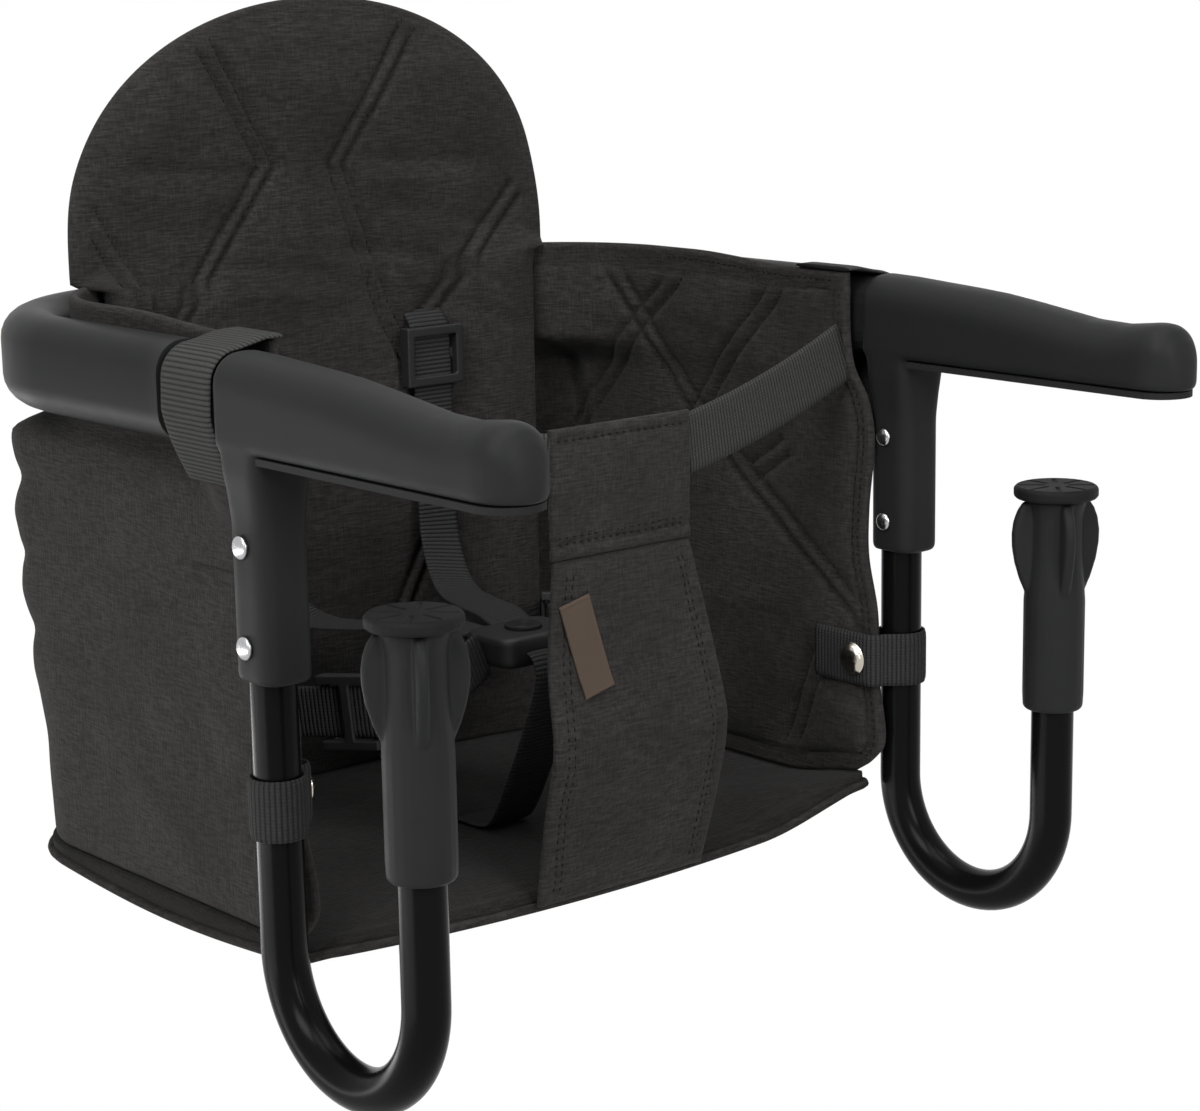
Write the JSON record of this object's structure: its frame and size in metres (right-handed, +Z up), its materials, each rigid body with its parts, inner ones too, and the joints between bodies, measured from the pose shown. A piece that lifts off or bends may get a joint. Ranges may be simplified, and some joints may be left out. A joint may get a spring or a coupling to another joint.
{
  "type": "hook-on table chair",
  "caption": "Fabric child seat in a U rail with two arms that rest on a table top and hooked legs whose winged screw clamps press up under it.",
  "frame": {"origin": "midway between the two legs, on the leg axis, in the plane of the arms' undersides, which is the table top", "axes": "+X to the sitter's left, +Y from the table towards the backrest, +Z up"},
  "size_m": [0.3926, 0.4262, 0.4228],
  "materials": {
    "fabric": "charcoal melange weave, matte",
    "webbing": "ribbed dark grey webbing",
    "arm_plastic": "satin dark grey moulding",
    "rail_cover": "satin dark grey grip cover",
    "collar": "matte black",
    "grip_rubber": "matte dark grey",
    "black_tube": "gloss black powder coat",
    "steel": "bright",
    "nickel": "polished nickel",
    "brass": "turned",
    "leather": "bare tan leather",
    "board": "hardboard",
    "buckle": "black moulding"
  },
  "bodies": {
    "seat": {"rail_tube": "black_tube", "rail_cover": "rail_cover", "back_panel": "fabric", "backrest_pad": "fabric", "seat_base": "fabric", "seat_board": "board", "crotch_panel": "fabric", "waist_band": "fabric", "leather_patch": "leather", "harness_buckle": "buckle", "crotch_strap": "webbing", "right_rail_collar": "collar", "right_side_panel": "fabric", "right_waist_belt": "webbing", "right_top_strap": "webbing", "right_rear_strap": "webbing", "right_leg_loop": "webbing", "right_snap": "nickel", "right_shoulder_strap": "webbing", "right_lap_strap": "webbing", "left_rail_collar": "collar", "left_side_panel": "fabric", "left_waist_belt": "webbing", "left_top_strap": "webbing", "left_rear_strap": "webbing", "left_leg_loop": "webbing", "left_snap": "nickel", "left_shoulder_strap": "webbing", "left_lap_strap": "webbing"},
    "right_arm": {"right_arm_shell": "arm_plastic", "right_arm_pad": "grip_rubber", "right_rivet_upper": "steel", "right_rivet_lower": "steel", "right_swivel_pin": "steel", "right_hook_tube": "black_tube", "right_clamp_spindle": "steel"},
    "right_clamp_foot": {"right_clamp_pad": "grip_rubber"},
    "right_clamp_knob": {"right_clamp_grip": "arm_plastic", "right_clamp_nut": "brass"},
    "right_shoulder_slider": {"right_shoulder_adjuster": "buckle"},
    "right_lap_slider": {"right_lap_adjuster": "buckle"},
    "left_arm": {"left_arm_shell": "arm_plastic", "left_arm_pad": "grip_rubber", "left_rivet_upper": "steel", "left_rivet_lower": "steel", "left_swivel_pin": "steel", "left_hook_tube": "black_tube", "left_clamp_spindle": "steel"},
    "left_clamp_foot": {"left_clamp_pad": "grip_rubber"},
    "left_clamp_knob": {"left_clamp_grip": "arm_plastic", "left_clamp_nut": "brass"},
    "left_shoulder_slider": {"left_shoulder_adjuster": "buckle"},
    "left_lap_slider": {"left_lap_adjuster": "buckle"}
  },
  "joints": [
    {"name": "right_fold", "type": "hinge", "parent": "seat", "child": "right_arm", "pos_m": [-0.1775, 0, 0.0205], "axis": [0, -1, 0], "range_deg": [0, 90], "deforming": ["crotch_panel", "waist_band", "leather_patch", "right_waist_belt", "left_waist_belt", "seat_base", "right_side_panel", "right_leg_loop", "right_snap"]},
    {"name": "right_clamp_lift", "type": "slide", "parent": "right_arm", "child": "right_clamp_foot", "axis": [0, 0, 1], "range_m": [0, 0.026]},
    {"name": "right_clamp_turn", "type": "hinge", "parent": "right_clamp_foot", "child": "right_clamp_knob", "pos_m": [-0.1775, -0.094, -0.1], "axis": [0, 0, 1], "range_deg": [0, 2340]},
    {"name": "right_shoulder_slide", "type": "slide", "parent": "seat", "child": "right_shoulder_slider", "axis": [0, 0, -1], "range_m": [0, 0.03]},
    {"name": "left_fold", "type": "hinge", "parent": "seat", "child": "left_arm", "pos_m": [0.1775, 0, 0.0205], "axis": [0, 1, 0], "range_deg": [0, 115], "deforming": ["crotch_panel", "waist_band", "leather_patch", "right_waist_belt", "left_waist_belt", "seat_base", "left_side_panel", "left_leg_loop", "left_snap"]},
    {"name": "left_clamp_lift", "type": "slide", "parent": "left_arm", "child": "left_clamp_foot", "axis": [0, 0, 1], "range_m": [0, 0.026]},
    {"name": "left_clamp_turn", "type": "hinge", "parent": "left_clamp_foot", "child": "left_clamp_knob", "pos_m": [0.1775, -0.094, -0.1], "axis": [0, 0, 1], "range_deg": [0, 2340]},
    {"name": "left_shoulder_slide", "type": "slide", "parent": "seat", "child": "left_shoulder_slider", "axis": [0, 0, -1], "range_m": [0, 0.03]},
    {"name": "right_lap_slide", "type": "slide", "parent": "seat", "child": "right_lap_slider", "axis": [0.3749, -0.9215, 0.1015], "range_m": [-0.01, 0.01]},
    {"name": "left_lap_slide", "type": "slide", "parent": "seat", "child": "left_lap_slider", "axis": [-0.6066, -0.7699, 0.1983], "range_m": [-0.01, 0.01]}
  ],
  "couplings": [
    {"joint": "right_clamp_lift", "follows": "right_clamp_turn", "m_per_rad": 0.0006366},
    {"joint": "left_clamp_lift", "follows": "left_clamp_turn", "m_per_rad": 0.0006366}
  ]
}
